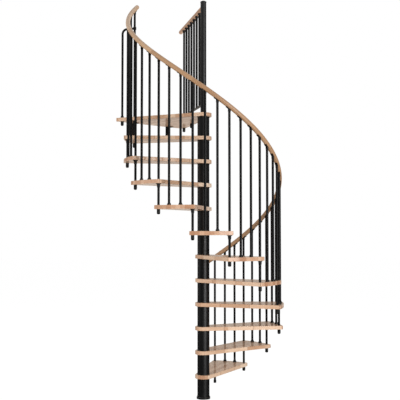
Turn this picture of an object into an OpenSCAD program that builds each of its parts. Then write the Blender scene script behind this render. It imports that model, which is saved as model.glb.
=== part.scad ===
// Spiral stair: wooden treads threaded on a steel column, with a wooden handrail on thin balusters.
// The flight climbs clockwise seen from above. The origin is on the column's axis at floor level.

/* [Flight] */
// Height of one rise
rise = 225; // [190:1:235]
// Turn from one step to the next in degrees
step_deg = 25.4; // [24:0.1:28]
// Direction of the first baluster in degrees
start_deg = 80.2; // [0:0.1:180]
// Radius of the circle that the balusters stand on
baluster_circle_r = 722; // [640:1:800]

/* [Treads] */
// Thickness of the treads and the landing
tread_t = 35; // [28:1:50]
// Reach of a tread beyond the baluster circle
tread_overhang = 35; // [24:1:60]
// Distance from a corner baluster's axis to the side edge
tread_side = 27; // [22:1:45]
// Radius of the round inner end
collar_r = 78; // [70:1:95]

/* [Landing] */
// Turn from the last baluster to the middle of the landing's straight edge in degrees
landing_deg = 31.8; // [26:0.1:36]
// Turn from there to the guard in degrees
guard_deg = 24; // [20:0.5:32]
// Reach of the landing's straight edge beyond the treads' circle
landing_reach = 19; // [0:1:60]

/* [Column] */
// Outer diameter of the spacer sleeves
sleeve_d = 114; // [90:1:125]
// Wall of a spacer sleeve
sleeve_wall = 4; // [2:0.5:8]
// Thickness of the centring disc in each end of a sleeve
disc_t = 8; // [4:1:16]
// Reach of the rim round each end of a sleeve
rim_reach = 2; // [1:0.5:4]
// Height of that rim
rim_h = 6; // [3:1:12]
// Diameter of the spindle tube
spindle_d = 56; // [48:1:64]
// Wall of the spindle tube
spindle_wall = 4; // [2:0.5:8]
// Diameter of the base flange
base_d = 128; // [126:1:180]
// Height of the base flange
base_t = 20; // [14:1:40]
// Floor of the socket in the base flange
base_floor = 8; // [4:1:10]
// Bevel round the base flange's upper edge
base_bevel = 4; // [1:0.5:4]
// Height of the post above the landing
post_h = 1072; // [1055:1:1200]

/* [Post cap] */
// Diameter of the cap's rim
cap_d = 60; // [58:1:80]
// Height of the cap's rim
cap_rim_h = 6; // [3:1:12]
// Height of the cap's dome
cap_dome_h = 12; // [6:1:24]
// Depth of the cap's plug in the post
cap_plug_h = 24; // [10:1:40]

/* [Balusters] */
// Diameter of a baluster
rod_d = 22; // [16:0.5:24]
// Diameter of the cup below a tread's rear corner
cup_d = 30; // [27:1:36]
// Length of that cup
cup_h = 45; // [30:1:70]
// Thickness of the cup's floor
cup_floor = 12; // [6:1:20]
// Rounding of the cup's lower end
cup_round = 11; // [4:1:12]
// Diameter of the flange on a sleeve below a tread's front corner
flange_d = 46; // [36:1:50]
// Thickness of that flange
flange_t = 5; // [2:0.5:8]
// Diameter of the tapered sleeve at that flange
taper_d = 32; // [29:1:36]
// Length of the tapered sleeve with its flange
taper_h = 36; // [16:1:50]
// Wall of a sleeve or foot at its thin end
taper_wall = 2; // [1.5:0.5:4]
// Diameter of the flared foot of a baluster on a tread
foot_d = 36; // [30:1:42]
// Height of that foot
foot_h = 18; // [8:1:30]
// Height of that foot's straight edge
foot_edge = 3; // [1:0.5:6]
// Diameter of the foot that stands on the floor
floor_foot_d = 28; // [26:1:34]
// Height of that foot
floor_foot_h = 28; // [16:1:50]
// Thickness of that foot's floor
floor_foot_t = 4; // [2:0.5:8]

/* [Handrail] */
// Diameter of the handrail
rail_d = 43; // [38:1:50]
// Depth of the flat under the handrail
rail_flat = 1.5; // [1:0.1:3]
// Height of the handrail's centre above a tread's front edge
rail_above = 1078; // [900:1:1150]
// Turn of the handrail below the first baluster in degrees
rail_lead_deg = 6; // [3:0.5:12]
// Turn of the handrail beyond the last baluster in degrees
rail_tail_deg = 3.5; // [2:0.5:8]
// First joint after the first baluster in steps
rail_first_steps = 0.84; // [0.6:0.01:0.9]
// Spacing of the joints in steps
rail_every_steps = 1.23; // [1.1:0.01:1.26]
// Length of the end pieces before their round ends
rail_end_h = 8; // [4:1:20]
// Width of the plate that carries the handrail
plate_w = 24; // [16:1:30]
// Length of that plate
plate_l = 44; // [40:1:70]
// Thickness of that plate
plate_t = 4; // [2:0.5:6]
// Depth of the socket below that plate
socket_h = 10; // [6:1:30]
// Wall of that socket
socket_wall = 1.5; // [1:0.5:4]

/* [Guard] */
// Distance of the guard's first baluster from the column's axis
guard_first = 147; // [110:1:180]
// Distance of the guard's last baluster from the landing's straight edge, along the guard
guard_in = 69; // [45:1:120]
// Drop of the guard's handrail centre below the top of the post
guard_drop = 44; // [30:1:200]
// Reach of the guard's handrail beyond its last baluster
guard_reach = 150; // [60:1:200]
// Height of the guard's lower bar above the landing
bar_up = 84; // [60:1:120]
// Width of the lower bar
bar_w = 30; // [27:1:40]
// Thickness of the lower bar
bar_t = 8; // [5:1:14]

/* [Corner tie] */
// Distance of the tie's foot from the landing's outer edge
tie_in = 46; // [36:1:60]
// Distance of the tie's foot from the arrival edge
tie_side = 22; // [20:1:40]
// Drop of the tie's level run below the handrail at the last baluster
tie_drop = 191; // [140:1:400]
// Bend radius of the tie's elbow
tie_bend = 45; // [30:1:60]
// Height of the clamp ring on the last baluster
clamp_h = 26; // [20:1:40]
// Wall of the clamp ring
clamp_wall = 5; // [3:0.5:9]

/* [Slab brackets] */
// Width of a slab bracket
bracket_w = 55; // [40:1:80]
// Height of its upright leg
bracket_h = 150; // [110:1:200]
// Length of its level leg
bracket_l = 65; // [40:1:90]
// Thickness of its plate
bracket_t = 6; // [4:0.5:10]
// Diameter of its bolt holes
bolt_d = 11; // [6:0.5:14]
// Distance of the lower bolt hole from the lower end
bolt_edge = 30; // [16:1:36]
// Spacing of the two bolt holes
bolt_pitch = 60; // [30:1:64]
// Offset of the first bracket along the outer edge
bracket_left = 286; // [150:1:400]
// Offset of the second bracket along the outer edge
bracket_right = 148; // [60:1:300]

/* [Fits] */
// Clearance round rods and the spindle in their holes
fit = 0.3; // [0.2:0.05:0.6]

/* [Hidden] */
$fn = 48;
// Steps below the landing, pieces of the handrail, balusters between two corners and in the guard
treads = 11;
rail_pieces = 10;
between = 2;
guard_rods = 7;
guard_long = [3, 6];
rail_sides = 24;
rail_rings = 8;
// Room past a face for a cut that goes right through
cut = 1;

landing_z = (treads + 1) * rise;
post_top = landing_z + post_h;
tread_r = baluster_circle_r + tread_overhang;
rod_r = rod_d / 2;
bore_r = rod_r + fit;
spindle_r = spindle_d / 2;
rail_r = rail_d / 2;
seat = rail_r - rail_flat;

// Slope of the handrail along its helix
rail_slope = atan(rise / (baluster_circle_r * step_deg * PI / 180));
// Plane of the plate's underside, measured from the handrail's centre
plate_under = seat + fit + plate_t;
// Top of a baluster, measured from the handrail's centre
rod_top = -plate_under / cos(rail_slope) - rod_r * tan(rail_slope) - fit;

// Turn of a tread's side edge from the tread's middle line
side_turn = edge_turn(step_deg / 2, baluster_circle_r);

// The landing's own frame has X square to its straight edge
landing_turn = turn(treads) - landing_deg;
landing_out = tread_r + landing_reach;
guard_turn = landing_turn - guard_deg;
guard_last = landing_out / cos(guard_deg) - guard_in;
guard_pitch = (guard_last - guard_first) / (guard_rods - 1);
guard_z = post_top - guard_drop;
bar_z = landing_z + bar_up;

// Turn of an edge that touches the round inner end and passes a baluster at that radius and turn
function edge_turn(at, r) = at - asin((collar_r - tread_side) / r);
// Reach across the landing of the line at that turn and distance from the column's axis
function across(x, at, away) = (away + x * sin(at)) / cos(at);
arrival_turn = edge_turn(landing_deg, baluster_circle_r);
far_turn = edge_turn(guard_deg, guard_last);
tie_x = landing_out - tie_in;
tie_y = across(tie_x, arrival_turn, collar_r - tie_side);
// Place of the last baluster in the landing's own frame
last_x = baluster_circle_r * cos(landing_deg);
last_y = baluster_circle_r * sin(landing_deg);
tie_span = norm([last_x - tie_x, last_y - tie_y]);
tie_turn = atan2(last_y - tie_y, last_x - tie_x);
clamp_r = bore_r + clamp_wall;

function turn(k) = start_deg - step_deg * k;
function rail_z(k) = (k + 1) * rise + rail_above;
rail_start = -rail_lead_deg / step_deg;
rail_stop = treads + rail_tail_deg / step_deg;
function rail_joint(i) =
    i == 0 ? rail_start : i == rail_pieces ? rail_stop : rail_first_steps + (i - 1) * rail_every_steps;

// Places a piece on the baluster circle at step k
module at_step(k) {
    rotate([0, 0, turn(k)]) translate([baluster_circle_r, 0, 0]) children();
}

// Places a piece in the landing's own frame
module at_landing() {
    rotate([0, 0, landing_turn]) children();
}

// Vertical bar from one height to another
module post(d, z0, z1) {
    translate([0, 0, z0]) cylinder(d = d, h = z1 - z0);
}

module base_flange() {
    r = base_d / 2;
    color("dimgray") difference() {
        rotate_extrude() polygon([
            [0, 0], [r, 0], [r, base_t - base_bevel], [r - base_bevel, base_t], [0, base_t]
        ]);
        post(spindle_d + 2 * fit, base_floor, base_t + cut);
    }
}

module spindle() {
    color("dimgray") difference() {
        post(spindle_d, base_floor, post_top);
        post(spindle_d - 2 * spindle_wall, base_floor - cut, post_top + cut);
    }
}

module post_cap() {
    dome_r = (pow(cap_d / 2, 2) + pow(cap_dome_h, 2)) / (2 * cap_dome_h);
    color("black") translate([0, 0, post_top]) {
        post(cap_d, 0, cap_rim_h);
        post(spindle_d - 2 * (spindle_wall + fit), -cap_plug_h, cap_rim_h);
        intersection() {
            post(cap_d, cap_rim_h - cut, cap_rim_h + cap_dome_h);
            translate([0, 0, cap_rim_h + cap_dome_h - dome_r]) sphere(r = dome_r, $fn = 96);
        }
    }
}

// Tube with a rim and an inward disc at each end; the discs centre it on the spindle
module spacer_sleeve(z0, z1) {
    outer = sleeve_d / 2;
    inner = outer - sleeve_wall;
    rim = outer + rim_reach;
    hole = spindle_r + fit;
    rotate_extrude() polygon([
        [hole, z0], [rim, z0], [rim, z0 + rim_h], [outer, z0 + rim_h],
        [outer, z1 - rim_h], [rim, z1 - rim_h], [rim, z1], [hole, z1],
        [hole, z1 - disc_t], [inner, z1 - disc_t], [inner, z0 + disc_t], [hole, z0 + disc_t]
    ]);
}

module spacer_sleeves() {
    color("dimgray") {
        spacer_sleeve(base_t, rise - tread_t);
        for (k = [1 : treads]) spacer_sleeve(k * rise, (k + 1) * rise - tread_t);
    }
}

// Wedge with a round inner end and an outer edge that follows the stair's circle
module tread(k) {
    reach = tread_r * 1.2;
    touch = collar_r * [-sin(side_turn), cos(side_turn)];
    far = touch + reach * [cos(side_turn), sin(side_turn)];
    color("burlywood") translate([0, 0, k * rise - tread_t]) difference() {
        rotate([0, 0, turn(k - 0.5)]) {
            post(2 * collar_r, 0, tread_t);
            intersection() {
                post(2 * tread_r, 0, tread_t);
                linear_extrude(tread_t) polygon([touch, [touch.x, -touch.y], [far.x, -far.y], far]);
            }
        }
        post(spindle_d + 2 * fit, -cut, tread_t + cut);
        at_step(k - 1) post(2 * bore_r, -cut, tread_t + cut);
        at_step(k) post(2 * bore_r, -cut, tread_t + cut);
    }
}

module landing() {
    color("burlywood") translate([0, 0, landing_z - tread_t]) difference() {
        at_landing() {
            post(2 * collar_r, 0, tread_t);
            linear_extrude(tread_t) polygon([
                collar_r * [-sin(arrival_turn), cos(arrival_turn)],
                collar_r * [-sin(far_turn), -cos(far_turn)],
                [landing_out, -across(landing_out, far_turn, collar_r)],
                [landing_out, across(landing_out, arrival_turn, collar_r)]
            ]);
        }
        post(spindle_d + 2 * fit, -cut, tread_t + cut);
        at_step(treads) post(2 * bore_r, -cut, tread_t + cut);
        at_landing() translate([tie_x, tie_y, 0]) post(2 * bore_r, -cut, tread_t + cut);
        for (i = guard_long) at_guard(i) post(2 * bore_r, -cut, tread_t + cut);
    }
}

// Bottom of a rod that ends in a cup below a slab whose top is at z
function cup_seat(z) = z - tread_t - cup_h + cup_floor;

// Corner baluster of step k: it hangs in a cup below tread k and passes the next tread
module corner_baluster(k) {
    at_step(k) post(rod_d, k == 0 ? floor_foot_t : cup_seat(k * rise), rail_z(k) + rod_top);
}

// Step of the baluster with number i between the corners of tread k
function between_step(k, i) = k - 1 + i / (between + 1);

module balusters(k) {
    color("dimgray") {
        if (k == 1) corner_baluster(0);
        corner_baluster(k);
        for (i = [1 : between]) at_step(between_step(k, i))
            post(rod_d, k * rise, rail_z(between_step(k, i)) + rod_top);
    }
}

// Cup with a rounded end, hung below a slab whose top is at z
module cup(z) {
    r = cup_d / 2;
    top = z - tread_t;
    difference() {
        union() {
            post(cup_d, top - cup_h + cup_round, top);
            post(cup_d - 2 * cup_round, top - cup_h, top);
            translate([0, 0, top - cup_h + cup_round]) rotate_extrude() intersection() {
                translate([r - cup_round, 0]) circle(r = cup_round);
                translate([0, -cup_round]) square([r, cup_round]);
            }
        }
        post(2 * bore_r, cup_seat(z), top + cut);
    }
}

module baluster_cups() {
    color("black") {
        for (k = [1 : treads]) at_step(k) cup(k * rise);
        for (i = guard_long) at_guard(i) cup(landing_z);
        at_landing() translate([tie_x, tie_y, 0]) cup(landing_z);
    }
}

// Flanged sleeve round a baluster, which tapers away below a slab whose top is at z
module corner_sleeve(z) {
    translate([0, 0, z - tread_t]) rotate_extrude() polygon([
        [bore_r, 0], [flange_d / 2, 0], [flange_d / 2, -flange_t], [taper_d / 2, -flange_t],
        [bore_r + taper_wall, -taper_h], [bore_r, -taper_h]
    ]);
}

module corner_sleeves() {
    color("black") for (k = [0 : treads]) at_step(k) corner_sleeve((k + 1) * rise);
}

// Flared foot round a baluster on a face at z, turned over with way -1
module flared_foot(z, way = 1) {
    translate([0, 0, z]) rotate_extrude() polygon([
        [bore_r, 0], [foot_d / 2, 0], [foot_d / 2, way * foot_edge],
        [bore_r + taper_wall, way * foot_h], [bore_r, way * foot_h]
    ]);
}

module baluster_feet() {
    color("black") {
        for (k = [1 : treads]) for (i = [1 : between]) at_step(between_step(k, i)) flared_foot(k * rise);
        for (i = [0 : guard_rods - 1]) at_guard(i) flared_foot(guard_z - seat, -1);
        at_landing() translate([tie_x, tie_y, 0]) flared_foot(landing_z);
        at_step(0) difference() {
            post(floor_foot_d, 0, floor_foot_h);
            post(2 * bore_r, floor_foot_t, floor_foot_h + cut);
        }
    }
}

// Frame on the handrail at step k: X points outward, Y up and across the handrail, Z along it
module on_rail(k) {
    at_step(k) translate([0, 0, rail_z(k)]) rotate([90 - rail_slope, 0, 0]) children();
}

// Plate under the handrail with a socket for the baluster's top
module rail_plate(k) {
    socket_r = bore_r + socket_wall;
    room = 4 * socket_r;
    at_step(k) translate([0, 0, rail_z(k)]) difference() {
        union() {
            rotate([90 - rail_slope, 0, 0])
                translate([-plate_w / 2, -plate_under, -plate_l / 2]) cube([plate_w, plate_t, plate_l]);
            difference() {
                post(2 * socket_r, rod_top - socket_h, socket_r);
                rotate([90 - rail_slope, 0, 0])
                    translate([-room, -plate_under + plate_t / 2, -room]) cube(2 * room);
            }
        }
        post(2 * bore_r, rod_top - socket_h - cut, rod_top + fit);
    }
}

module rail_plates() {
    color("black") {
        rail_plate(0);
        for (k = [1 : treads]) for (i = [1 : between + 1]) rail_plate(between_step(k, i));
    }
}

// Round section with a flat below
rail_section = [for (i = [0 : rail_sides - 1])
    let (a = 360 * i / rail_sides) [rail_r * cos(a), max(rail_r * sin(a), -seat)]];

// Point p of the section carried to step k of the helix
function rail_point(k, p) =
    let (c = cos(turn(k)), s = sin(turn(k)), out = baluster_circle_r + p.x, back = p.y * sin(rail_slope))
    [out * c - back * s, out * s + back * c, rail_z(k) + p.y * cos(rail_slope)];

module handrail(i) {
    k0 = rail_joint(i - 1);
    k1 = rail_joint(i);
    n = rail_sides;
    points = [for (j = [0 : rail_rings]) for (p = rail_section)
        rail_point(k0 + (k1 - k0) * j / rail_rings, p)];
    sides = [for (j = [0 : rail_rings - 1]) for (m = [0 : n - 1])
        let (a = j * n + m, b = j * n + (m + 1) % n) each [[a, a + n, b + n], [a, b + n, b]]];
    lower = [for (m = [0 : n - 1]) m];
    upper = [for (m = [0 : n - 1]) rail_rings * n + n - 1 - m];
    color("peru") polyhedron(points, concat(sides, [lower, upper]), convexity = 4);
}

// Turned end piece on a handrail: a short round with a domed end
module rail_end() {
    post(rail_d, 0, rail_end_h);
    translate([0, 0, rail_end_h]) intersection() {
        sphere(r = rail_r);
        post(rail_d, 0, rail_r);
    }
}

module handrail_ends() {
    color("peru") {
        on_rail(rail_start) mirror([0, 0, 1]) rail_end();
        on_rail(rail_stop) rail_end();
    }
}

// Places a piece on the guard's line at baluster i, counted from the post
module at_guard(i) {
    rotate([0, 0, guard_turn]) translate([guard_first + i * guard_pitch, 0, 0]) children();
}

module guard_handrail() {
    color("peru") rotate([0, 0, guard_turn]) difference() {
        translate([0, 0, guard_z]) rotate([0, 90, 0]) {
            post(rail_d, 0, guard_last + guard_reach);
            translate([0, 0, guard_last + guard_reach]) intersection() {
                sphere(r = rail_r);
                post(rail_d, 0, rail_r);
            }
        }
        translate([0, -rail_d, guard_z - rail_d - seat])
            cube([guard_last + guard_reach + rail_d, 2 * rail_d, rail_d]);
        post(spindle_d + 2 * fit, guard_z - rail_d, guard_z + rail_d);
    }
}

function guard_is_long(i) = len(search(i, guard_long)) > 0;

module guard_balusters() {
    color("dimgray") for (i = [0 : guard_rods - 1])
        at_guard(i) post(rod_d, guard_is_long(i) ? cup_seat(landing_z) : bar_z + bar_t, guard_z - seat);
}

module guard_bar() {
    color("dimgray") difference() {
        rotate([0, 0, guard_turn]) translate([0, -bar_w / 2, bar_z])
            cube([guard_last + bar_w / 2, bar_w, bar_t]);
        post(spindle_d + 2 * fit, bar_z - cut, bar_z + bar_t + cut);
        for (i = guard_long) at_guard(i) post(2 * bore_r, bar_z - cut, bar_z + bar_t + cut);
    }
}

// Bent tube from the landing's corner to a clamp ring on the last baluster
module corner_tie() {
    level = rail_z(treads) - tie_drop;
    color("dimgray") at_landing() translate([tie_x, tie_y, 0]) rotate([0, 0, tie_turn]) difference() {
        union() {
            post(rod_d, cup_seat(landing_z), level - tie_bend);
            translate([tie_bend, 0, level - tie_bend]) rotate([90, 0, 0]) rotate([0, 0, 90])
                rotate_extrude(angle = 90) translate([tie_bend, 0]) circle(d = rod_d);
            translate([tie_bend, 0, level]) rotate([0, 90, 0]) post(rod_d, 0, tie_span - tie_bend);
            translate([tie_span, 0, 0]) post(2 * clamp_r, level - clamp_h / 2, level + clamp_h / 2);
        }
        translate([tie_span, 0, 0]) post(2 * bore_r, level - clamp_h, level + clamp_h);
    }
}

// Angle plate below the landing that is fixed to the slab's edge
module slab_bracket(offset) {
    color("black") at_landing() translate([landing_out, offset - bracket_w / 2, landing_z - tread_t]) {
        translate([-bracket_l, 0, -bracket_t]) cube([bracket_l, bracket_w, bracket_t]);
        difference() {
            translate([-bracket_t, 0, -bracket_h]) cube([bracket_t, bracket_w, bracket_h]);
            for (i = [0, 1])
                translate([-bracket_t, bracket_w / 2, bolt_edge + i * bolt_pitch - bracket_h])
                    rotate([0, 90, 0]) post(bolt_d, -cut, bracket_t + cut);
        }
    }
}

base_flange();
spindle();
post_cap();
spacer_sleeves();
tread(1);  // tread_01
tread(2);  // tread_02
tread(3);  // tread_03
tread(4);  // tread_04
tread(5);  // tread_05
tread(6);  // tread_06
tread(7);  // tread_07
tread(8);  // tread_08
tread(9);  // tread_09
tread(10);  // tread_10
tread(11);  // tread_11
landing();
balusters(1);  // balusters_01
balusters(2);  // balusters_02
balusters(3);  // balusters_03
balusters(4);  // balusters_04
balusters(5);  // balusters_05
balusters(6);  // balusters_06
balusters(7);  // balusters_07
balusters(8);  // balusters_08
balusters(9);  // balusters_09
balusters(10);  // balusters_10
balusters(11);  // balusters_11
baluster_cups();
corner_sleeves();
baluster_feet();
rail_plates();
handrail(1);  // handrail_01
handrail(2);  // handrail_02
handrail(3);  // handrail_03
handrail(4);  // handrail_04
handrail(5);  // handrail_05
handrail(6);  // handrail_06
handrail(7);  // handrail_07
handrail(8);  // handrail_08
handrail(9);  // handrail_09
handrail(10);  // handrail_10
handrail_ends();
guard_handrail();
guard_balusters();
guard_bar();
corner_tie();
slab_bracket(bracket_left);  // slab_bracket_1
slab_bracket(-bracket_right);  // slab_bracket_2
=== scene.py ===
# %% [markdown]
# A spiral stair: eleven beech treads and a corner landing on a black steel column, with thin black balusters
# and a round beech handrail that climbs with the flight.
# The packed solids come in first as a fixed frame, in metres, with the floor at zero and the column on the Z axis.
# Whatever has the right shape there keeps it and only gets a finish.
# The treads, the landing and the handrail are made again, with soft edges and with a place for the grain.

# %% the frame
import math

import bmesh
import bpy
from mathutils import Matrix, Vector


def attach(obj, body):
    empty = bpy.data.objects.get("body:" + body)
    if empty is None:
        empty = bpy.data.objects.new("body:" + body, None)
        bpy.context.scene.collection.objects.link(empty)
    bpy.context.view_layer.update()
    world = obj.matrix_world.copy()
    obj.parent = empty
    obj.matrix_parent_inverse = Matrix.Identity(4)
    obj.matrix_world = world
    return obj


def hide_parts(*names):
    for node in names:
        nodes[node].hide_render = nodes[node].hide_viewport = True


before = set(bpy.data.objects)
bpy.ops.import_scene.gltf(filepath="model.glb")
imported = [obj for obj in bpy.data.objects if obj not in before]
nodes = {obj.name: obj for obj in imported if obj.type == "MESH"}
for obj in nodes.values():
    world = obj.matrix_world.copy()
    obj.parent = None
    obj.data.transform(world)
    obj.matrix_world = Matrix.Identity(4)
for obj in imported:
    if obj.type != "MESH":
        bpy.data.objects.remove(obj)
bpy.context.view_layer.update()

# %% [markdown]
# Every step of a spiral stair is the one below it, turned and lifted by the same amount.
# So a few numbers place everything: the rise, the turn from step to step, and the circle that the balusters
# stand on.
# They are the same sizes as in the solids, written in metres and radians.

# %% sizes of the flight
RISE = 0.225
STEP_DEGREES = 25.4
STEP = math.radians(STEP_DEGREES)
START = math.radians(80.2)
CIRCLE = 0.722
TREADS = 11
SLAB = 0.035
SIDE = 0.027
COLLAR = 0.078
TREAD_PAST_RODS = 0.0349
TREAD_REACH = CIRCLE + TREAD_PAST_RODS
LANDING_TOP = (TREADS + 1) * RISE


def turn(k):
    """Direction of the corner baluster at step k."""
    return START - STEP * k


def polar(r, a, z=0.0):
    """Point at radius r, direction a and height z."""
    return Vector((r * math.cos(a), r * math.sin(a), z))


print("flight:", TREADS, "treads, landing at", round(LANDING_TOP, 3), "m")

# %% [markdown]
# Blender's node trees are drawn by hand in the editor, but formulas are easier to read as formulas.
# This small class wraps one output of a tree, so that a + b or 1 - mask adds the Math node for it.
# Its method named node adds any other node: the type, its settings first, and then the values or links
# of its sockets.

# %% formulas that add nodes


class Wire:
    """One output socket of a node tree."""

    def __init__(self, tree, socket=None):
        self.tree = tree
        self.socket = socket

    def node(self, kind, settings=(), sockets=(), out=0):
        made = self.tree.nodes.new(kind)
        for name, value in dict(settings).items():
            if name == "stops":
                ramp = made.color_ramp
                while len(ramp.elements) < len(value):
                    ramp.elements.new(0.5)
                for stop, (place, colour) in zip(ramp.elements, value):
                    stop.position = place
                    stop.color = colour
            else:
                setattr(made, name, value)
        for name, value in dict(sockets).items():
            if isinstance(value, Wire):
                self.tree.links.new(value.socket, made.inputs[name])
            else:
                made.inputs[name].default_value = value
        return Wire(self.tree, made.outputs[out] if made.outputs else None)

    def math(self, operation, a, b=0.0):
        return self.node("ShaderNodeMath", {"operation": operation}, {0: a, 1: b})

    def __add__(self, other):
        return self.math("ADD", self, other)

    def __radd__(self, other):
        return self.math("ADD", other, self)

    def __sub__(self, other):
        return self.math("SUBTRACT", self, other)

    def __rsub__(self, other):
        return self.math("SUBTRACT", other, self)

    def __mul__(self, other):
        return self.math("MULTIPLY", self, other)

    def __rmul__(self, other):
        return self.math("MULTIPLY", other, self)

    def __truediv__(self, other):
        return self.math("DIVIDE", self, other)

    def floor(self):
        return self.math("FLOOR", self)

    def fract(self):
        return self.math("FRACT", self)

    def step_up(self, low, high):
        """0 below low, 1 above high, and a soft step between them."""
        soft = {"interpolation_type": "SMOOTHSTEP"}
        return self.node("ShaderNodeMapRange", soft, {0: self, 1: low, 2: high})

    def axes(self):
        """The three numbers of a vector."""
        made = self.node("ShaderNodeSeparateXYZ", (), {0: self}).socket.node
        return [Wire(self.tree, socket) for socket in made.outputs]

    def vector(self, x=0.0, y=0.0, z=0.0):
        return self.node("ShaderNodeCombineXYZ", (), {0: x, 1: y, 2: z})

    def mix(self, a, b, blend="MIX"):
        """Colour a where this mask is 0 and colour b where it is 1."""
        settings = {"data_type": "RGBA", "blend_type": blend}
        return self.node("ShaderNodeMix", settings, {0: self, 6: a, 7: b}, out=2)

    def noise(self, place, scale=1.0, detail=3.0, rough=0.5):
        sockets = {"Vector": place, "Scale": scale, "Detail": detail, "Roughness": rough}
        return self.node("ShaderNodeTexNoise", (), sockets)

    def chance(self, x, y=0.0, z=0.0):
        """A number between 0 and 1 that is fixed for each x, y and z."""
        numbers = self.vector(x, y, z)
        return self.node("ShaderNodeTexWhiteNoise", {"noise_dimensions": "3D"}, {"Vector": numbers})

    def own(self, name, out=2):
        """A number (out 2) or vector (out 1) that the mesh carries at its points."""
        return self.node("ShaderNodeAttribute", {"attribute_name": name}, out=out)


def paint(red, green, blue):
    """A colour as read from a picture, 0 to 255, in Blender's linear light."""
    parts = [c / 255 for c in (red, green, blue)]
    return [c / 12.92 if c <= 0.04045 else ((c + 0.055) / 1.055) ** 2.4 for c in parts] + [1.0]


def new_finish(name):
    """An empty material and a wire to start its formulas from."""
    material = bpy.data.materials.new(name)
    material.use_nodes = True
    material.node_tree.nodes.clear()
    return material, Wire(material.node_tree)


def surface(start, colour, rough, height, depth, **same):
    """Ends a material: colour, roughness and a bump of that depth in metres, with the shader's fixed values."""
    bump = start.node("ShaderNodeBump", (), {"Strength": 1.0, "Distance": depth, "Height": height})
    sockets = {"Base Color": colour, "Roughness": rough, "Normal": bump}
    sockets.update({name.replace("_", " "): value for name, value in same.items()})
    shader = start.node("ShaderNodeBsdfPrincipled", (), sockets)
    start.node("ShaderNodeOutputMaterial", (), {"Surface": shader})


print("formulas: Wire has", len([n for n in vars(Wire) if not n.startswith("__")]), "named methods")

# %% [markdown]
# The column, the balusters and the brackets are steel with a satin black powder coat.
# Powder melts into a skin with a faint orange peel, about a millimetre across, which softens what it mirrors.
# A fine noise in the bump gives that skin, and a slow noise lets the sheen drift a little along each tube.
# On the thin balusters the same coat looks deeper, because they mirror less of the lamp, so they get
# a darker version.

# %% satin black powder coat
DRIFT_SCALE = 9.0
PEEL_SCALE = 900.0


def powder_coat(name, dark, light, gloss, skin):
    """A satin coat that drifts between two greys, with the shader's specular level and the depth of its skin."""
    material, start = new_finish(name)
    place = start.node("ShaderNodeTexCoord", out=3)
    drift = start.noise(place, DRIFT_SCALE, detail=2.0)
    peel = start.noise(place, PEEL_SCALE, detail=2.0)
    surface(
        start,
        colour=drift.mix(paint(dark, dark, dark), paint(light, light, light)),
        rough=0.33 + 0.10 * drift + 0.04 * peel,
        height=peel,
        depth=skin,
        Specular_IOR_Level=gloss,
    )
    return material


black_steel = powder_coat("satin_black_powder_coat", dark=6, light=13, gloss=0.5, skin=0.000004)
black_rods = powder_coat("satin_black_balusters", dark=4, light=9, gloss=0.2, skin=0.000001)
print("finish:", black_steel.name, black_rods.name)

# %% [markdown]
# The cups, sleeves and feet on the balusters and the cap on the post are moulded in black plastic.
# Moulded parts have a fine spark-eroded grain and no orange peel, so they look a touch duller than the steel.

# %% moulded black fittings
GRIT_SCALE = 2400.0
CLOUD_SCALE = 30.0

black_plastic, start = new_finish("moulded_black_fitting")
place = start.node("ShaderNodeTexCoord", out=3)
grit = start.noise(place, GRIT_SCALE, detail=1.0)
cloud = start.noise(place, CLOUD_SCALE, detail=2.0)
surface(
    start,
    colour=cloud.mix(paint(7, 7, 7), paint(13, 13, 13)),
    rough=0.40 + 0.10 * grit,
    height=grit,
    depth=0.000002,
    Specular_IOR_Level=0.3,
)
print("finish:", black_plastic.name)

# %% [markdown]
# The wood is steamed beech: a warm tan with fine straight grain and short dark flecks.
# Grain is noise that is stretched along the board; flecks are a shorter noise of which only the peaks show.
# Both work on three numbers, the place along the board and two places across it, so one formula serves
# all the wood.

# %% grain of beech
PALE_BEECH = [
    (0.0, paint(152, 108, 79)),
    (0.3, paint(184, 147, 118)),
    (0.6, paint(207, 178, 152)),
    (0.85, paint(228, 206, 183)),
    (1.0, paint(240, 223, 204)),
]
FLECK_BROWN = paint(128, 84, 58)
FLECK_PEAKS = (0.62, 0.74)
FLECK_TINT = 0.45
TONE_SHARE = 0.80
BAND_SHARE = 0.24
STRIPE_SHARE = 0.24
SHADE_SHIFT = 0.20


def beech(start, tones, along, across, up, tone):
    """Colour and bump height of beech in these tones, whose pieces differ by tone, a number from 0 to 1."""

    def streaks(length_scale, width_scale, detail, rough=0.5):
        place = start.vector(along * length_scale, across * width_scale, up * width_scale)
        return start.noise(place, 1.0, detail, rough)

    stripes = streaks(length_scale=3.5, width_scale=150.0, detail=4.0, rough=0.6)
    bands = streaks(length_scale=1.2, width_scale=32.0, detail=2.0)
    flecks = streaks(length_scale=70.0, width_scale=620.0, detail=1.0)
    shade = TONE_SHARE * tone + BAND_SHARE * bands + STRIPE_SHARE * stripes - SHADE_SHIFT
    wood = start.node("ShaderNodeValToRGB", {"stops": tones}, {0: shade})
    fleck = flecks.step_up(*FLECK_PEAKS)
    colour = (FLECK_TINT * fleck).mix(wood, FLECK_BROWN)
    return colour, 0.6 * stripes - 0.4 * fleck


print("beech:", len(PALE_BEECH), "tones from dark to light staves")

# %% [markdown]
# A tread is glued up from staves about four centimetres wide that run along it, each a row of shorter pieces.
# Rounding the place across the tread down to whole staves numbers them, and the same along a stave numbers
# its pieces.
# A fixed chance for each number gives every piece its own tone, and a thin dark line marks each glue joint.
# The clear lacquer over it is a coat, smooth enough to mirror the balusters in the treads.

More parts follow.
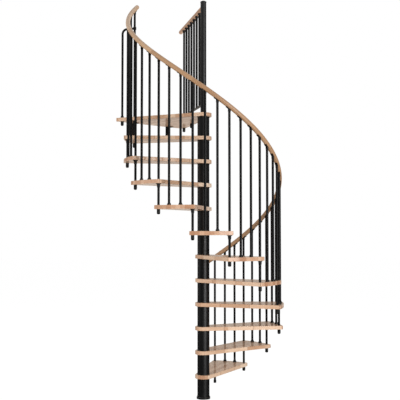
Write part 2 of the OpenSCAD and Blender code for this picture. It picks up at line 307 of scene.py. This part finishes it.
# %% lacquered beech staves
STAVE = 0.042
STAVE_PIECE = 0.26
LANE_SHIFT = 20.5
SLIP_DRAW = 3.0
SLIP_PIECES = 8.0
LANE_DRAW = 9.5
GRAIN_SHIFT = 5.0
GLUE_LINE = (0.478, 0.494)
GLUE_TINT = 0.5
GLUE_BROWN = paint(120, 78, 54)
END_TINT = 0.55
END_GRAIN = paint(206, 172, 150)

tread_wood, start = new_finish("lacquered_beech_staves")
along, across, up = start.own("grain", 1).axes()
board = start.own("board")
lane = (across / STAVE + LANE_SHIFT).floor()
slip = start.chance(lane, board, SLIP_DRAW)
piece = (along / STAVE_PIECE + SLIP_PIECES * slip).floor()
lane_tone = start.chance(lane, LANE_DRAW, board)
piece_tone = start.chance(lane, piece, board)
board_tone = start.chance(board)
tone = 0.35 * lane_tone + 0.45 * piece_tone + 0.20 * board_tone
shift = GRAIN_SHIFT * tone
wood, height = beech(start, PALE_BEECH, along + shift, across + shift, up, tone)
gap = (across / STAVE + LANE_SHIFT).fract() - 0.5
joint = gap.math("ABSOLUTE", gap).step_up(*GLUE_LINE)
wood = (GLUE_TINT * joint).mix(wood, GLUE_BROWN)
end = start.own("end")
wood = (END_TINT * end).mix(wood, END_GRAIN, "MULTIPLY")
surface(
    start,
    colour=wood,
    rough=0.42 - 0.08 * height,
    height=height - joint,
    depth=0.00003,
    Specular_IOR_Level=0.2,
    Coat_Weight=0.6,
    Coat_Roughness=0.07,
)
print("finish:", tread_wood.name, "with staves of", STAVE, "m")

# %% [markdown]
# A tread is a wedge with a round inner end and an outer edge that follows the stair's circle, with soft edges.
# Its outline is known exactly, so it is drawn as points: the two long sides touch the circle round the column,
# the outer edge is an arc, and the two sharp corners are rounded like a joiner would with a router.

# %% outline of a slab
CORNER = 0.008
EDGE = 0.0035
SPINDLE_HOLE = 0.0283
ROD_HOLE = 0.0113
CORNER_STEPS = 6
OUTER_STEPS = 24
INNER_STEPS = 32


def arc(centre, radius, a0, a1, count):
    """Points on an arc from direction a0 to a1."""
    return [centre + radius * Vector((math.cos(a), math.sin(a))) for a in
            (a0 + (a1 - a0) * i / count for i in range(count + 1))]


def rounded_corner(before, at, after):
    """Points that round a corner of a straight outline."""
    into = (at - before).normalized()
    out = (after - at).normalized()
    half = into.angle(out) / 2
    centre = at + CORNER / math.cos(half) * (out - into).normalized()
    first = math.atan2(-into.x, into.y)
    return arc(centre, CORNER, first, first + 2 * half, CORNER_STEPS)


def tread_outline():
    """Outline of a tread, anticlockwise, with X along its middle line."""
    lean = STEP / 2 - math.asin((COLLAR - SIDE) / CIRCLE)
    side = Vector((math.cos(lean), math.sin(lean)))
    square = Vector((-side.y, side.x))
    inset = TREAD_REACH - CORNER
    centre = (COLLAR - CORNER) * square + math.sqrt(inset ** 2 - (COLLAR - CORNER) ** 2) * side
    tip = math.atan2(centre.y, centre.x)
    upper = arc(centre, CORNER, tip, lean + math.pi / 2, CORNER_STEPS)
    lower = [Vector((p.x, -p.y)) for p in reversed(upper)]
    outer = arc(Vector((0, 0)), TREAD_REACH, -tip, tip, OUTER_STEPS)[1:-1]
    inner = arc(Vector((0, 0)), COLLAR, lean + math.pi / 2, 1.5 * math.pi - lean, INNER_STEPS)
    return lower + outer + upper + inner


wedge = tread_outline()
print("tread outline:", len(wedge), "points, reach", round(max(p.x for p in wedge), 4), "m")

# %% [markdown]
# A bevel would do for the soft edges, but with the outline at hand they are simple to build: its points are
# pulled in and lifted along a quarter circle, ring by ring.
# The flat faces are filled between the last ring and the holes for the spindle and the rods.
# Each point also carries its place on the board, so that the grain runs along every tread whichever way it points.

# %% a slab with soft edges
HOLE_STEPS = 24
END_SHARPNESS = 6
EDGE_DEGREES = (90, 67.5, 45, 22.5, 0)


def outward(points):
    """The outward direction at each point, long enough to keep the walls parallel."""
    normals = []
    for i, p in enumerate(points):
        a = (p - points[i - 1]).normalized()
        b = (points[(i + 1) % len(points)] - p).normalized()
        mid = Vector((a.y + b.y, -a.x - b.x)).normalized()
        normals.append(mid / max(0.5, mid.dot(Vector((a.y, -a.x)))))
    return normals


def slab(name, outline, holes, top, heading, number):
    """A wooden slab below height top, turned to its heading, with holes given as (centre, radius)."""
    mesh = bmesh.new()
    facing = outward(outline)
    rings, directions, ends = [], [], []
    quarter = [math.radians(a) for a in EDGE_DEGREES]
    profile = [(-1, a) for a in quarter] + [(1, a) for a in reversed(quarter)]
    for way, a in profile:
        z = top - SLAB / 2 + way * (SLAB / 2 - EDGE + EDGE * math.sin(a))
        ring = []
        for p, n in zip(outline, facing):
            q = p - n * EDGE * (1 - math.cos(a))
            ring.append(mesh.verts.new((q.x, q.y, z)))
            flat = n.normalized() * math.cos(a)
            directions.append(Vector((flat.x, flat.y, way * math.sin(a))))
            ends.append(abs(flat.x) ** END_SHARPNESS)
        rings.append(ring)
    for low, high in zip(rings, rings[1:]):
        for i in range(len(outline)):
            j = (i + 1) % len(outline)
            mesh.faces.new((low[i], low[j], high[j], high[i]))
    loops = {0: [rings[0]], -1: [rings[-1]]}
    for centre, radius in holes:
        circle = arc(centre, radius, 0, 2 * math.pi, HOLE_STEPS)[:-1]
        pair = []
        for end, z, way in ((0, top - SLAB, -1), (-1, top, 1)):
            loop = [mesh.verts.new((p.x, p.y, z)) for p in circle]
            directions += [Vector((0, 0, way))] * len(loop)
            ends += [0.0] * len(loop)
            loops[end].append(loop)
            pair.append(loop)
        low, high = pair
        for i in range(len(circle)):
            j = (i + 1) % len(circle)
            mesh.faces.new((low[j], low[i], high[i], high[j]))
    for found in loops.values():
        edges = []
        for loop in found:
            for i, vert in enumerate(loop):
                edge = mesh.edges.get((vert, loop[(i + 1) % len(loop)]))
                edges.append(edge or mesh.edges.new((vert, loop[(i + 1) % len(loop)])))
        bmesh.ops.triangle_fill(mesh, edges=edges, use_beauty=True)
    bmesh.ops.recalc_face_normals(mesh, faces=mesh.faces[:])
    data = bpy.data.meshes.new(name)
    mesh.to_mesh(data)
    mesh.free()
    for label, kind in (("grain", "FLOAT_VECTOR"), ("board", "FLOAT"), ("end", "FLOAT")):
        data.attributes.new(label, kind, "POINT")
    for i, vert in enumerate(data.vertices):
        data.attributes["grain"].data[i].vector = (vert.co.x, vert.co.y, vert.co.z - top)
        data.attributes["board"].data[i].value = number
        data.attributes["end"].data[i].value = ends[i]
    place = Matrix.Rotation(heading, 4, "Z")
    data.transform(place)
    data.shade_smooth()
    data.normals_split_custom_set_from_vertices([place @ d for d in directions])
    data.materials.append(tread_wood)
    piece = bpy.data.objects.new(name, data)
    bpy.context.scene.collection.objects.link(piece)
    return piece


def on_stair(piece, slot, *cad_nodes):
    """Fixes a finished piece to the stair, in place of its solids where it has any."""
    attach(piece, "root")
    if cad_nodes:
        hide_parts(*cad_nodes)
    return piece


spindle_hole = (Vector((0, 0)), SPINDLE_HOLE)
for k in range(1, TREADS + 1):
    corners = [(Vector(polar(CIRCLE, way * STEP / 2)[:2]), ROD_HOLE) for way in (-1, 1)]
    piece = slab(f"Tread_{k:02d}", wedge, [spindle_hole] + corners, k * RISE, turn(k - 0.5), k)
    on_stair(piece, "tread_wood", f"tread_{k:02d}")
print("treads:", TREADS, "slabs of", len(piece.data.polygons), "faces")

# %% [markdown]
# The landing is a larger slab with a straight outer edge that meets the upper floor.
# It is drawn in its own frame, with X square to that edge, from the same corners as the solid.
# Its staves run square to the edge, as the treads' staves run out from the column.

# %% the landing
LANDING_SWING = math.radians(31.8)
GUARD_SWING = math.radians(24)
LANDING_TURN = turn(TREADS) - LANDING_SWING
LANDING_PAST_RODS = 0.054
LANDING_OUT = CIRCLE + LANDING_PAST_RODS
GUARD_TURN = LANDING_TURN - GUARD_SWING
GUARD_FIRST = 0.147
GUARD_IN = 0.069
GUARD_LAST = LANDING_OUT / math.cos(GUARD_SWING) - GUARD_IN
GUARD_RODS = 7
GUARD_LONG = (3, 6)
TIE_IN = 0.046
TIE_SIDE = 0.022
LANDING_STEPS = 24


def edge_turn(at, r):
    """Direction of an edge that touches the round inner end and passes a rod at that radius and direction."""
    return at - math.asin((COLLAR - SIDE) / r)


def across_at(x, at, away):
    """How far across the landing the line at that direction and distance from the axis is."""
    return (away + x * math.sin(at)) / math.cos(at)


arrival = edge_turn(LANDING_SWING, CIRCLE)
far_side = edge_turn(GUARD_SWING, GUARD_LAST)
near_corner = Vector((LANDING_OUT, across_at(LANDING_OUT, arrival, COLLAR)))
far_corner = Vector((LANDING_OUT, -across_at(LANDING_OUT, far_side, COLLAR)))
near_touch = COLLAR * Vector((-math.sin(arrival), math.cos(arrival)))
far_touch = COLLAR * Vector((-math.sin(far_side), -math.cos(far_side)))
landing_outline = (
    rounded_corner(far_touch, far_corner, near_corner)
    + rounded_corner(far_corner, near_corner, near_touch)
    + arc(Vector((0, 0)), COLLAR, arrival + math.pi / 2, 1.5 * math.pi - far_side, LANDING_STEPS)
)
guard_places = [
    GUARD_FIRST + (GUARD_LAST - GUARD_FIRST) * i / (GUARD_RODS - 1) for i in range(GUARD_RODS)]
tie_out = LANDING_OUT - TIE_IN
tie_foot = Vector((tie_out, across_at(tie_out, arrival, COLLAR - TIE_SIDE)))
landing_holes = [spindle_hole, (Vector(polar(CIRCLE, LANDING_SWING)[:2]), ROD_HOLE), (tie_foot, ROD_HOLE)]
landing_holes += [(Vector(polar(guard_places[i], -GUARD_SWING)[:2]), ROD_HOLE) for i in GUARD_LONG]
landing = slab("Landing", landing_outline, landing_holes, LANDING_TOP, LANDING_TURN, TREADS + 1)
on_stair(landing, "tread_wood", "landing")
straight = (near_corner - far_corner).length
print("landing:", len(landing.data.polygons), "faces, straight edge", round(straight, 3), "m")

# %% [markdown]
# The handrail is a round bar with a flat below that follows a helix, made of ten bent pieces joined end to end.
# In Geometry Nodes a line of points is wound onto the helix by a formula and the section is swept along it,
# so a longer flight or a thicker rail is one changed input.
# The points keep their step and the section its place, which the wood needs for its grain, for a tone for each
# piece and for the fine dark line at each joint.

# %% a sweep along the helix
RAIL = 0.0215
RAIL_FLAT = 0.0015
RAIL_SEAT = RAIL - RAIL_FLAT
RAIL_ABOVE = 1.078
RAIL_LEAD_DEGREES = 6
RAIL_TAIL_DEGREES = 3.5
RAIL_FIRST = -RAIL_LEAD_DEGREES / STEP_DEGREES
RAIL_LAST = TREADS + RAIL_TAIL_DEGREES / STEP_DEGREES
RAIL_SIDES = 40
RAIL_POINTS = 360
JOINT_FIRST = 0.84
JOINT_EVERY = 1.23
STEP_LENGTH = math.hypot(CIRCLE * STEP, RISE)
SLOPE = math.atan2(RISE, CIRCLE * STEP)


def node_tree(name, inputs):
    """A Geometry Nodes tree with named inputs, as (tree, wire to start from, inputs by name)."""
    tree = bpy.data.node_groups.new(name, "GeometryNodeTree")
    for label, kind in inputs:
        tree.interface.new_socket(label, in_out="INPUT", socket_type=kind)
    tree.interface.new_socket("Geometry", in_out="OUTPUT", socket_type="NodeSocketGeometry")
    group = tree.nodes.new("NodeGroupInput")
    return tree, Wire(tree), {label: Wire(tree, group.outputs[label]) for label, kind in inputs}


def end_tree(start, geometry, material):
    """Ends a tree in real geometry with its material."""
    real = start.node("GeometryNodeRealizeInstances", (), {"Geometry": geometry})
    painted = start.node("GeometryNodeSetMaterial", (), {"Geometry": real, "Material": material})
    start.node("NodeGroupOutput", (), {"Geometry": painted})


def grow(name, tree, values, mesh=None):
    """Runs a tree on a new object and keeps the result as a plain mesh."""
    piece = bpy.data.objects.new(name, mesh or bpy.data.meshes.new(name))
    bpy.context.scene.collection.objects.link(piece)
    nodes_modifier = piece.modifiers.new("grow", "NODES")
    nodes_modifier.node_group = tree
    for item in tree.interface.items_tree:
        if item.in_out == "INPUT" and item.name in values:
            nodes_modifier[item.identifier] = values[item.name]
    graph = bpy.context.evaluated_depsgraph_get()
    made = bpy.data.meshes.new_from_object(
        piece.evaluated_get(graph), preserve_all_data_layers=True, depsgraph=graph)
    piece.modifiers.remove(nodes_modifier)
    piece.data = made
    made.name = name
    return piece


rail_tree, start, size = node_tree("helical_handrail", [
    ("Circle", "NodeSocketFloat"), ("Rise", "NodeSocketFloat"), ("Turn", "NodeSocketFloat"),
    ("Start", "NodeSocketFloat"), ("First", "NodeSocketFloat"), ("Last", "NodeSocketFloat"),
    ("Height", "NodeSocketFloat"), ("Radius", "NodeSocketFloat"), ("Seat", "NodeSocketFloat"),
    ("Points", "NodeSocketInt"), ("Material", "NodeSocketMaterial"),
])
line = start.node("GeometryNodeMeshLine", (), {"Count": size["Points"]})
line = start.node("GeometryNodeMeshToCurve", (), {"Mesh": line})
index = start.node("GeometryNodeInputIndex")
step = size["First"] + (size["Last"] - size["First"]) * index / (size["Points"] - 1.0)
angle = size["Start"] - size["Turn"] * step
spot = start.vector(
    size["Circle"] * angle.math("COSINE", angle),
    size["Circle"] * angle.math("SINE", angle),
    (step + 1.0) * size["Rise"] + size["Height"],
)
helix = start.node("GeometryNodeSetPosition", (), {"Geometry": line, "Position": spot})
helix = start.node("GeometryNodeStoreNamedAttribute", {"domain": "POINT"}, {
    "Geometry": helix, "Name": "step", "Value": step})
helix = start.node("GeometryNodeSetCurveNormal", {"mode": "Z_UP"}, {"Curve": helix})
ring = start.node("GeometryNodeCurvePrimitiveCircle", (), {
    "Resolution": RAIL_SIDES, "Radius": size["Radius"]})
x, y, z = start.node("GeometryNodeInputPosition").axes()
flat = y.math("MAXIMUM", y, 0.0 - size["Seat"])
ring = start.node("GeometryNodeSetPosition", (), {"Geometry": ring, "Position": start.vector(x, flat, z)})
for label, value in (("side", x), ("up", y)):
    ring = start.node("GeometryNodeStoreNamedAttribute", {"domain": "POINT"}, {
        "Geometry": ring, "Name": label, "Value": value})
swept = start.node("GeometryNodeCurveToMesh", (), {
    "Curve": helix, "Profile Curve": ring, "Fill Caps": True})
swept = start.node("GeometryNodeSetShadeSmooth", (), {0: swept})
end_tree(start, swept, size["Material"])
print("handrail tree:", len(rail_tree.nodes), "nodes, slope", round(math.degrees(SLOPE), 1), "degrees")

# %% [markdown]
# The rail's lacquer has gone golden and is duller than the treads', and its bent pieces differ in tone.
# The step number that the sweep kept tells the pieces apart: a chance shifts the tone of each, a soft step paints
# the top pieces paler as painted light for the light that falls on the upper run, and a thin line marks each
# joint.
# With the finish ready, the tree runs once and its result is kept as a plain mesh.

# %% lacquered beech of the handrail
GOLDEN_BEECH = [
    (0.0, paint(135, 100, 71)),
    (0.3, paint(157, 123, 92)),
    (0.6, paint(177, 144, 112)),
    (0.8, paint(204, 175, 145)),
    (1.0, paint(232, 208, 182)),
]
PAINTED_LIGHT_TOP_PIECES = (4.5, 6.5)
RAIL_GRAIN_SHIFT = 3.0
RAIL_JOINT = (0.0012, 0.0026)
RAIL_JOINT_TINT = 0.8
RAIL_JOINT_BROWN = paint(92, 62, 44)

rail_wood, start = new_finish("lacquered_beech_rail")
step = start.own("step")
joints = (step - JOINT_FIRST) / JOINT_EVERY
piece = joints.floor()
# The soft step over the top pieces is painted light: it makes the upper run paler, where more light falls on it.
tone = 0.18 + 0.25 * start.chance(piece) + 0.42 * piece.step_up(*PAINTED_LIGHT_TOP_PIECES)
along = step * STEP_LENGTH + RAIL_GRAIN_SHIFT * tone
wood, height = beech(start, GOLDEN_BEECH, along, start.own("side"), start.own("up"), tone)
gap = (joints + 0.5).fract() - 0.5
joint = 1.0 - gap.math("ABSOLUTE", gap).step_up(*RAIL_JOINT)
wood = (RAIL_JOINT_TINT * joint).mix(wood, RAIL_JOINT_BROWN)
surface(
    start,
    colour=wood,
    rough=0.40 - 0.08 * height,
    height=height - joint,
    depth=0.00002,
    Specular_IOR_Level=0.3,
    Coat_Weight=0.15,
    Coat_Roughness=0.16,
)
handrail = grow("Handrail", rail_tree, {
    "Circle": CIRCLE, "Rise": RISE, "Turn": STEP, "Start": START, "First": RAIL_FIRST, "Last": RAIL_LAST,
    "Height": RAIL_ABOVE, "Radius": RAIL, "Seat": RAIL_SEAT, "Points": RAIL_POINTS, "Material": rail_wood,
})
on_stair(handrail, "rail_wood", *[f"handrail_{i:02d}" for i in range(1, 11)])
print("handrail:", len(handrail.data.polygons), "faces, attributes", sorted(handrail.data.attributes.keys()))

# %% [markdown]
# The guard on the landing has a straight length of the same rail, and the helix ends in two turned end pieces.
# Their solids have the right shape, so they only take a finish.
# A Mapping node turns the grain to the guard's line, and tilts it to the rail's slope in the lighter end pieces.

# %% wood of the guard's rail and the end pieces


def plain_beech(name, rotation, tone):
    """Lacquered beech whose grain runs along X of the turned coordinates."""
    material, start = new_finish(name)
    place = start.node("ShaderNodeTexCoord", out=3)
    turned = {"Vector": place, "Rotation": rotation}
    place = start.node("ShaderNodeMapping", {"vector_type": "POINT"}, turned)
    along, across, up = place.axes()
    wood, height = beech(start, PALE_BEECH, along, across, up, tone)
    surface(
        start,
        colour=wood,
        rough=0.40 - 0.08 * height,
        height=height,
        depth=0.00002,
        Coat_Weight=0.15,
        Coat_Roughness=0.16,
    )
    return material


guard_wood = plain_beech("lacquered_beech_guard", (0.0, 0.0, -GUARD_TURN), tone=0.16)
end_wood = plain_beech("lacquered_beech_ends", (0.0, SLOPE, 0.0), tone=0.35)


def finish(node, material):
    """Gives a solid's object one material."""
    data = nodes[node].data
    data.materials.clear()
    data.materials.append(material)


finish("guard_handrail", guard_wood)
finish("handrail_ends", end_wood)
print("finish:", guard_wood.name, end_wood.name)

# %% [markdown]
# Everything else on the stair is black and keeps the shape of its solid.
# The names of the solids say what they are, so a short list sorts them into plastic, thin rods and plain steel.

# %% steel and plastic on the solids
PLASTIC = ("post_cap", "baluster_cups", "corner_sleeves", "baluster_feet")
RODS = ("balusters", "guard_balusters", "guard_bar", "corner_tie", "rail_plates", "slab_bracket")
WOODEN = ("tread", "landing", "handrail", "guard_handrail")
for name in sorted(nodes):
    if name in PLASTIC:
        finish(name, black_plastic)
    elif name.startswith(RODS):
        finish(name, black_rods)
    elif not name.startswith(WOODEN):
        finish(name, black_steel)
print("finished solids:", len([n for n in nodes if not n.startswith(WOODEN)]))

# %% [markdown]
# Two small screws hold the handrail on each of its plates, and bolts and screws hold the two slab brackets.
# They are all one shape, so one tree makes the head once, with its round recess, and sets it on every point,
# turned to the direction that the point carries.

# %% screws
HEAD_SIDES = 12
HEAD_TAPER = 0.7
RECESS_WIDTH = 0.6
RECESS_DEPTH = 0.6

screw_tree, start, size = node_tree("pan_head_screws", [
    ("Geometry", "NodeSocketGeometry"), ("Radius", "NodeSocketFloat"), ("Height", "NodeSocketFloat"),
    ("Material", "NodeSocketMaterial"),
])
cone = start.node("GeometryNodeMeshCone", {"fill_type": "NGON"}, {
    "Vertices": HEAD_SIDES, "Radius Top": size["Radius"] * HEAD_TAPER, "Radius Bottom": size["Radius"],
    "Depth": size["Height"]})
top = Wire(screw_tree, cone.socket.node.outputs["Top"])
rim = start.node("GeometryNodeExtrudeMesh", {"mode": "FACES"}, {
    "Mesh": cone, "Selection": top, "Offset Scale": 0.0, "Individual": False})
inner = Wire(screw_tree, rim.socket.node.outputs["Top"])
rim = start.node("GeometryNodeScaleElements", {"domain": "FACE"}, {
    "Geometry": rim, "Selection": inner, "Scale": RECESS_WIDTH})
recess = start.node("GeometryNodeExtrudeMesh", {"mode": "FACES"}, {
    "Mesh": rim, "Selection": inner, "Offset Scale": size["Height"] * -RECESS_DEPTH, "Individual": False})
facing = start.node("GeometryNodeInputNamedAttribute", {"data_type": "FLOAT_VECTOR"}, {
    "Name": "facing"})
aim = start.node("FunctionNodeAlignRotationToVector", {"axis": "Z"}, {"Vector": facing})
heads = start.node("GeometryNodeInstanceOnPoints", (), {
    "Points": size["Geometry"], "Instance": recess, "Rotation": aim})
end_tree(start, heads, size["Material"])


def heads_on(name, places, radius, height):
    """One piece with a head at each (point, direction that it faces)."""
    points = bpy.data.meshes.new(name + "_places")
    points.from_pydata([at for at, way in places], [], [])
    facing = points.attributes.new("facing", "FLOAT_VECTOR", "POINT")
    for item, (at, way) in zip(facing.data, places):
        item.vector = way
    piece = grow(name, screw_tree, {"Radius": radius, "Height": height, "Material": black_rods}, points)
    print(name, len(places), "heads,", len(piece.data.polygons), "faces")
    return on_stair(piece, "black_steel")


SCREW_OUT = 0.017
PLATE_GAP = 0.0003
PLATE_T = 0.004
PLATE_UNDER = RAIL_SEAT + PLATE_GAP + PLATE_T
RODS_PER_STEP = 3

places = []
for i in range(RODS_PER_STEP * TREADS + 1):
    k = i / RODS_PER_STEP
    a = turn(k)
    along = Vector((math.sin(a) * math.cos(SLOPE), -math.cos(a) * math.cos(SLOPE), math.sin(SLOPE)))
    down = Vector((math.sin(a) * math.sin(SLOPE), -math.cos(a) * math.sin(SLOPE), -math.cos(SLOPE)))
    centre = polar(CIRCLE, a, (k + 1) * RISE + RAIL_ABOVE) + PLATE_UNDER * down
    places += [(centre + way * SCREW_OUT * along, down) for way in (-1, 1)]
heads_on("Plate_screws", places, radius=0.0028, height=0.0016)

# %% [markdown]
# Each bracket is an angle plate: two bolts go through its upright leg into the upper floor's edge, and two wood
# screws go up into the landing.
# The places are worked out in the landing's own frame and then turned onto the stair.

# %% bolts and screws of the slab brackets
BRACKETS = (0.286, -0.148)
BRACKET_T = 0.006
BRACKET_H = 0.150
BOLT_EDGE = 0.030
BOLT_PITCH = 0.060
WOOD_SCREW_IN = 0.045
WOOD_SCREW_APART = 0.016

to_stair = Matrix.Rotation(LANDING_TURN, 3, "Z")
under = LANDING_TOP - SLAB
bolts, wood_screws = [], []
for across in BRACKETS:
    for i in range(2):
        at = Vector((LANDING_OUT - BRACKET_T, across, under - BRACKET_H + BOLT_EDGE + i * BOLT_PITCH))
        bolts.append((to_stair @ at, to_stair @ Vector((-1, 0, 0))))
    for way in (-1, 1):
        at = Vector((LANDING_OUT - WOOD_SCREW_IN, across + way * WOOD_SCREW_APART, under - BRACKET_T))
        wood_screws.append((to_stair @ at, Vector((0, 0, -1))))
heads_on("Bracket_bolts", bolts, radius=0.0095, height=0.006)
heads_on("Bracket_screws", wood_screws, radius=0.005, height=0.0025)

# %% [markdown]
# The camera stands at about eye height, seven metres away, and looks up by a little more than two degrees.
# Its place was found by matching corners of the treads and feet of the balusters with the photo.
# The lens is written as a focal length in pixels, because that is what such a match gives.

# %% camera
CAMERA_AT = Vector((-0.0325, -6.95775, 1.5834))
CAMERA_PITCH = 0.0411
FOCAL_PIXELS = 731.1
PICTURE_PIXELS = 400

camera = bpy.data.cameras.new("Camera")
camera.sensor_width = 36.0
camera.lens = FOCAL_PIXELS / PICTURE_PIXELS * camera.sensor_width
camera_object = bpy.data.objects.new("Camera", camera)
camera_object.location = CAMERA_AT
camera_object.rotation_euler = (math.pi / 2 + CAMERA_PITCH, 0.0, 0.0)
bpy.context.scene.collection.objects.link(camera_object)
bpy.context.scene.camera = camera_object
print("camera: lens", round(camera.lens, 2), "mm")

# %% [markdown]
# The photo shows the stair on plain white, so the set is a white studio.
# The world is white for the camera and for mirrors, and darker as a light, so that the soft boxes can shape
# the wood.
# The floor shows white to the camera but keeps a hint of shadow, and it throws light up at the treads.

# %% world and floor


def seen_directly(start):
    """1 for rays that show the background itself, to the camera or in mirrors."""
    rays = start.node("ShaderNodeLightPath").socket.node.outputs
    camera_ray = Wire(start.tree, rays["Is Camera Ray"])
    return camera_ray.math("MAXIMUM", camera_ray, Wire(start.tree, rays["Is Glossy Ray"]))


WHITE = (1.0, 1.0, 1.0, 1.0)
FILL = 0.46
FLOOR_WHITE = 0.88
FLOOR_GLOW = 1.075
FLOOR_BOUNCE = 1.0
FLOOR_GREY = (0.92, 0.92, 0.92, 1.0)
FLOOR_HALF = 30

world = bpy.data.worlds.new("white_studio")
world.use_nodes = True
world.node_tree.nodes.clear()
start = Wire(world.node_tree)
shown = seen_directly(start)
glow = start.node("ShaderNodeBackground", (), {"Color": WHITE, "Strength": FILL + (1.0 - FILL) * shown})
start.node("ShaderNodeOutputWorld", (), {"Surface": glow})
bpy.context.scene.world = world

floor_paint, start = new_finish("studio_floor")
shown = seen_directly(start)
matt = start.node("ShaderNodeBsdfDiffuse", (), {"Color": FLOOR_GREY})
white = start.node("ShaderNodeEmission", (), {"Color": WHITE, "Strength": FLOOR_GLOW})
both = start.node("ShaderNodeMixShader", (), {
    0: FLOOR_BOUNCE + (FLOOR_WHITE - FLOOR_BOUNCE) * shown, 1: matt, 2: white})
start.node("ShaderNodeOutputMaterial", (), {"Surface": both})
floor_mesh = bpy.data.meshes.new("Floor")
floor_corners = [(x * FLOOR_HALF, y * FLOOR_HALF, 0) for x, y in ((-1, -1), (1, -1), (1, 1), (-1, 1))]
floor_mesh.from_pydata(floor_corners, [], [(0, 1, 2, 3)])
floor_mesh.materials.append(floor_paint)
floor = bpy.data.objects.new("Floor", floor_mesh)
bpy.context.scene.collection.objects.link(floor)
print("floor and world: fill", FILL)

# %% [markdown]
# Three soft boxes light the stair: the key to the right of the camera draws the bright line on the column,
# one on the left fills the shaded side, and one behind lifts the edges that face away.
# The last two are hidden from mirrors, so that they light the wood and leave the black paint deep.

# %% soft boxes


def soft_box(name, direction, distance, middle, width, height, radiance):
    """An upright soft box at a direction in degrees to the right of the camera, aimed at the column."""
    lamp = bpy.data.lights.new(name, "AREA")
    lamp.shape = "RECTANGLE"
    lamp.size = width
    lamp.size_y = height
    lamp.energy = radiance * math.pi * width * height
    light = bpy.data.objects.new(name, lamp)
    a = math.radians(direction)
    light.location = (distance * math.sin(a), -distance * math.cos(a), middle)
    light.rotation_euler = (math.pi / 2, 0.0, a)
    light.visible_camera = False
    bpy.context.scene.collection.objects.link(light)
    return light


soft_box("Key_box", direction=34.0, distance=6.0, middle=2.2, width=3.0, height=5.0, radiance=6.3)
side = soft_box("Side_box", direction=-62.0, distance=6.5, middle=2.4, width=5.0, height=4.0, radiance=3.2)
side.visible_glossy = False
rear = soft_box("Rear_box", direction=158.0, distance=7.0, middle=2.4, width=5.0, height=5.0, radiance=1.6)
rear.visible_glossy = False
bpy.context.scene.view_settings.view_transform = "Standard"
print("light: a key box, and a side box and a rear box that mirrors do not see")

# %% [markdown]
# Black paint shows what stands around it more than its own colour, so photographers put dark screens round
# such a set.
# Here one ring of screens, with a dark sheet on the floor, is seen by mirrors alone.
# It glows a little on the left and behind, where the lacquered treads mirror the studio.

# %% dark screens
SCREEN_NEAR = 0.07
SCREEN_AWAY = 9.0
SCREEN_HIGH = 7.0
SCREEN_LIFT = 0.001
SCREEN_PANEL = 5
BASE_GLOW = 0.02
LEFT_GLOW = 0.42
LEFT_PART = (-8.8, -7.0)
BACK_GLOW = 0.55
BACK_PART = (6.0, 8.5)
LOW_PART = (0.4, 1.7)
LOW_GAIN = 0.8
GREEN_LOSS = 0.1
BLUE_LOSS = 0.2

screen_cloth, start = new_finish("dark_screen")
x, y, z = start.node("ShaderNodeTexCoord", out=3).axes()
back = y.step_up(*BACK_PART)
left = 1.0 - x.step_up(*LEFT_PART)
near_floor = (1.0 + LOW_GAIN) - LOW_GAIN * z.step_up(*LOW_PART)
glow = BASE_GLOW + LEFT_GLOW * left + BACK_GLOW * back * near_floor
warm = start.vector(glow, glow * (1.0 - GREEN_LOSS * back), glow * (1.0 - BLUE_LOSS * back))
cloth = start.node("ShaderNodeEmission", (), {"Color": warm, "Strength": 1.0})
start.node("ShaderNodeOutputMaterial", (), {"Surface": cloth})
screen_mesh = bpy.data.meshes.new("Dark_screen")
rows = [(SCREEN_NEAR, SCREEN_LIFT), (SCREEN_AWAY, SCREEN_LIFT), (SCREEN_AWAY, SCREEN_HIGH)]
bearings = [math.radians(a) for a in range(0, 361, SCREEN_PANEL)]
count = len(bearings)
screen_mesh.from_pydata(
    [polar(r, a, z) for r, z in rows for a in bearings], [],
    [(j * count + i + 1, j * count + i, (j + 1) * count + i, (j + 1) * count + i + 1)
     for j in range(len(rows) - 1) for i in range(count - 1)])
screen_mesh.materials.append(screen_cloth)
screen = bpy.data.objects.new("Dark_screen", screen_mesh)
screen.visible_camera = False
screen.visible_diffuse = False
screen.visible_shadow = False
screen.visible_transmission = False
bpy.context.scene.collection.objects.link(screen)
print("screens:", count - 1, "panels round the set")

# %% [markdown]
